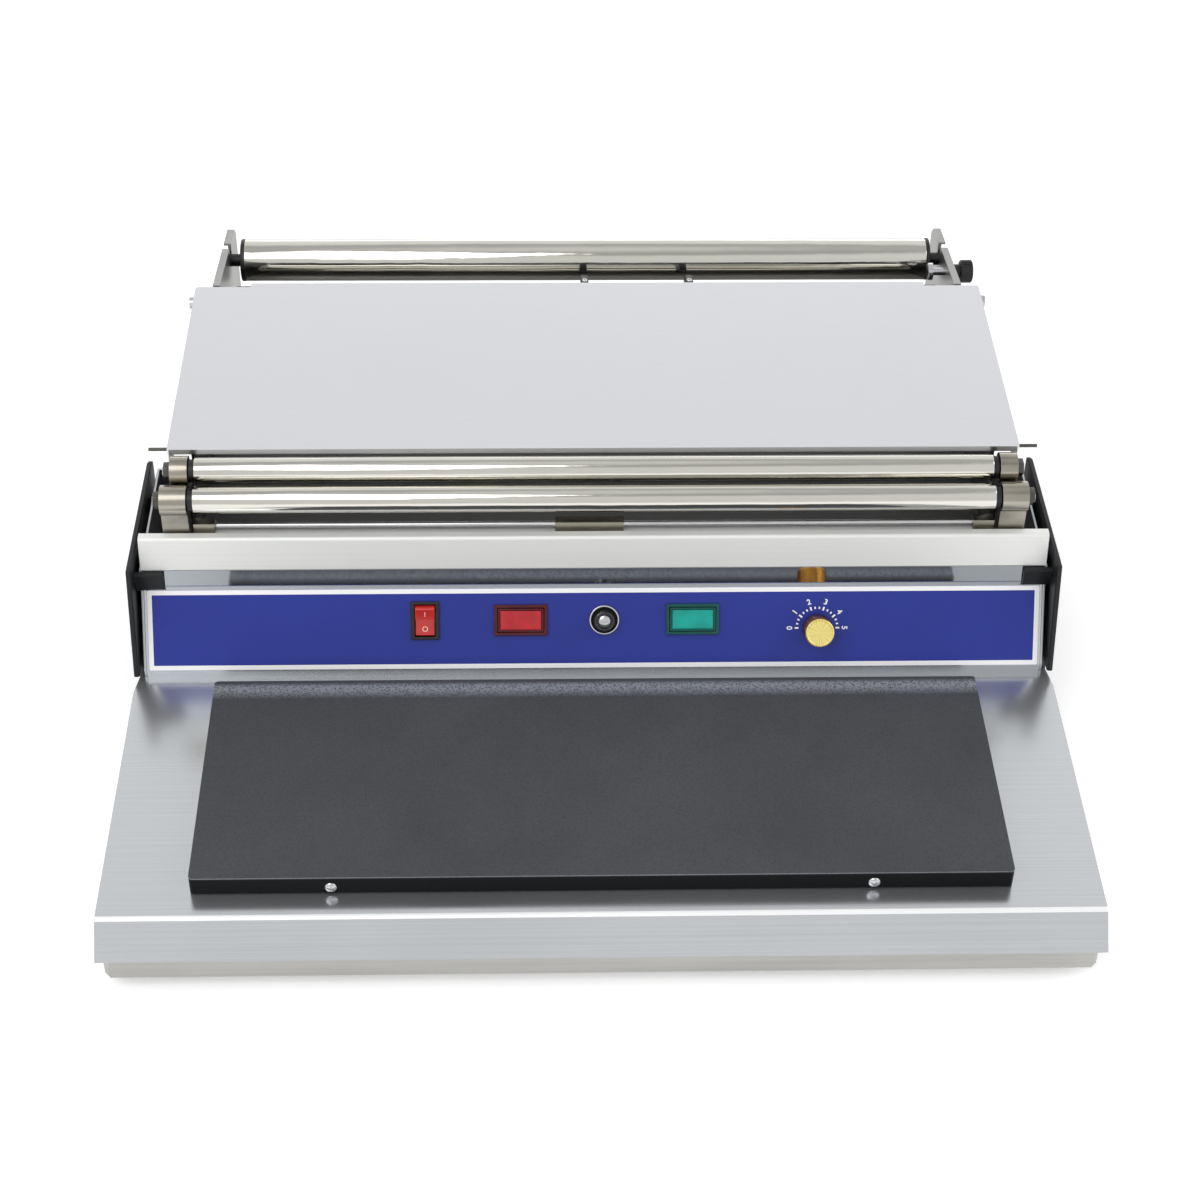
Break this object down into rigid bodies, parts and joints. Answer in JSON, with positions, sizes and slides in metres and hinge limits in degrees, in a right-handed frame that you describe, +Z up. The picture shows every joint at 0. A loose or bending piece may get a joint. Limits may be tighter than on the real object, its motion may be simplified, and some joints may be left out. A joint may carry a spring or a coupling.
{
  "type": "cling film wrapping machine",
  "caption": "Table-top machine that wraps trays in cling film: roll cradle with stops and a brake, guide rollers, tilting platform, heated film cutter and hot sealing plate.",
  "frame": {"origin": "centre of the bounding box in X and Y, on the plane that the rubber feet stand on", "axes": "+X to the right as seen by the person at the hot plate, +Y from the front apron towards the film cradle, +Z up"},
  "size_m": [0.53, 0.5286, 0.1555],
  "materials": {
    "stainless": "satin brushed stainless sheet",
    "pan_steel": "plain grey zinc-plated sheet",
    "coated_plate": "charcoal non-stick coating with a fine grain",
    "platform_steel": "fine satin steel sheet, light grey",
    "guard_steel": "satin light grey folded sheet",
    "polished_tube": "polished tube",
    "bracket_metal": "bright satin metal",
    "hardware": "bright plated fasteners",
    "label": "blue printed panel film with a white border",
    "black_plastic": "black moulded plastic",
    "cover_plastic": "dark grey-black plastic sheet",
    "red_plastic": "glossy red",
    "red_lens": "translucent red",
    "green_lens": "translucent teal green",
    "gold_knob": "gold anodised, knurled, turned face",
    "glass": "clear glass",
    "rubber": "black rubber",
    "heater_mat": "woven heater mat",
    "insulation": "pressed mineral wool",
    "copper": "bare copper tube",
    "transformer_core": "varnished laminated core and winding",
    "wire": "insulated wire"
  },
  "bodies": {
    "base": {"deck": "stainless", "bottom_pan": "pan_steel", "feet": "rubber", "foot_bolts": "hardware", "hot_plate": "coated_plate", "heater_pad": "heater_mat", "heater_insulation": "insulation", "heater_clamp": "pan_steel", "hot_plate_brackets": "pan_steel", "hot_plate_screws": "hardware", "thermostat_sensor": "copper", "front_housing": "stainless", "control_label": "label", "switch_body": "black_plastic", "indicator_bodies": "black_plastic", "red_lens": "red_lens", "green_lens": "green_lens", "indicator_lamps": "glass", "fuse_holder": "black_plastic", "fuse_ring": "hardware", "thermostat": "bracket_metal", "cutter_channel": "stainless", "cutter_rod": "hardware", "cutter_clips": "bracket_metal", "clip_screws": "hardware", "cutter_guard": "guard_steel", "roller_shafts": "hardware", "roller_brackets": "bracket_metal", "roller_nuts": "hardware", "platform_pivots": "hardware", "rest_pads": "rubber", "side_plates": "stainless", "inner_tray": "pan_steel", "rear_panel": "pan_steel", "cheek_plates": "stainless", "side_covers": "cover_plastic", "cover_screws": "hardware", "transformer": "transformer_core", "wiring": "wire", "cord_gland": "black_plastic"},
    "platform": {"platform": "platform_steel"},
    "lower_roller": {"lower_roller": "polished_tube", "lower_roller_bushes": "black_plastic"},
    "upper_roller": {"upper_roller": "polished_tube", "upper_roller_bushes": "black_plastic"},
    "rear_roller": {"rear_roller": "polished_tube", "rear_roller_plugs": "black_plastic"},
    "middle_roller": {"middle_roller": "polished_tube", "middle_roller_plugs": "black_plastic"},
    "film_stop_left": {"film_stop_left": "black_plastic", "stop_screw_left": "hardware"},
    "film_stop_right": {"film_stop_right": "black_plastic", "stop_screw_right": "hardware"},
    "rocker": {"rocker": "red_plastic"},
    "temperature_knob": {"temperature_knob": "gold_knob", "thermostat_shaft": "hardware"},
    "fuse_link": {"glass_fuse": "glass"},
    "fuse_cap": {"fuse_cap": "black_plastic"},
    "brake_spindle": {"brake_spindle": "hardware"},
    "brake_knob": {"brake_knob": "black_plastic"}
  },
  "joints": [
    {"name": "platform_tilt", "type": "hinge", "parent": "base", "child": "platform", "pos_m": [0, 0.15775, 0.149], "axis": [-1, 0, 0], "range_deg": [0, 75]},
    {"name": "lower_roller_spin", "type": "hinge", "parent": "base", "child": "lower_roller", "pos_m": [0, -0.02325, 0.138], "axis": [1, 0, 0], "continuous": true},
    {"name": "upper_roller_spin", "type": "hinge", "parent": "base", "child": "upper_roller", "pos_m": [0, -0.00725, 0.1465], "axis": [1, 0, 0], "continuous": true},
    {"name": "middle_roller_spin", "type": "hinge", "parent": "base", "child": "middle_roller", "pos_m": [0, 0.18575, 0.1265], "axis": [1, 0, 0], "continuous": true},
    {"name": "rear_roller_spin", "type": "hinge", "parent": "base", "child": "rear_roller", "pos_m": [0, 0.22975, 0.1335], "axis": [1, 0, 0], "continuous": true},
    {"name": "film_stop_left_slide", "type": "slide", "parent": "middle_roller", "child": "film_stop_left", "axis": [1, 0, 0], "range_m": [-0.205, 0.025]},
    {"name": "film_stop_right_slide", "type": "slide", "parent": "middle_roller", "child": "film_stop_right", "axis": [1, 0, 0], "range_m": [-0.025, 0.145]},
    {"name": "power_rocker", "type": "hinge", "parent": "base", "child": "rocker", "pos_m": [-0.098, -0.04941, 0.0701], "axis": [-1, 0, 0], "range_deg": [0, 22]},
    {"name": "temperature_turn", "type": "hinge", "parent": "base", "child": "temperature_knob", "pos_m": [0.128, -0.05363, 0.06585], "axis": [0, 0.863, -0.5052], "range_deg": [0, 280]},
    {"name": "fuse_pull", "type": "slide", "parent": "base", "child": "fuse_link", "axis": [0, -0.863, 0.5052], "range_m": [0, 0.035]},
    {"name": "fuse_cap_turn", "type": "hinge", "parent": "fuse_link", "child": "fuse_cap", "pos_m": [0.005, -0.0507, 0.07086], "axis": [0, -0.863, 0.5052], "range_deg": [0, 90]},
    {"name": "brake_feed", "type": "slide", "parent": "base", "child": "brake_spindle", "axis": [-1, 0, 0], "range_m": [0, 0.0021]},
    {"name": "brake_turn", "type": "hinge", "parent": "brake_spindle", "child": "brake_knob", "pos_m": [0.24, 0.20375, 0.1408], "axis": [-1, 0, 0], "range_deg": [0, 1080]}
  ],
  "couplings": [
    {"joint": "brake_turn", "follows": "brake_feed", "rad_per_m": 8976}
  ]
}
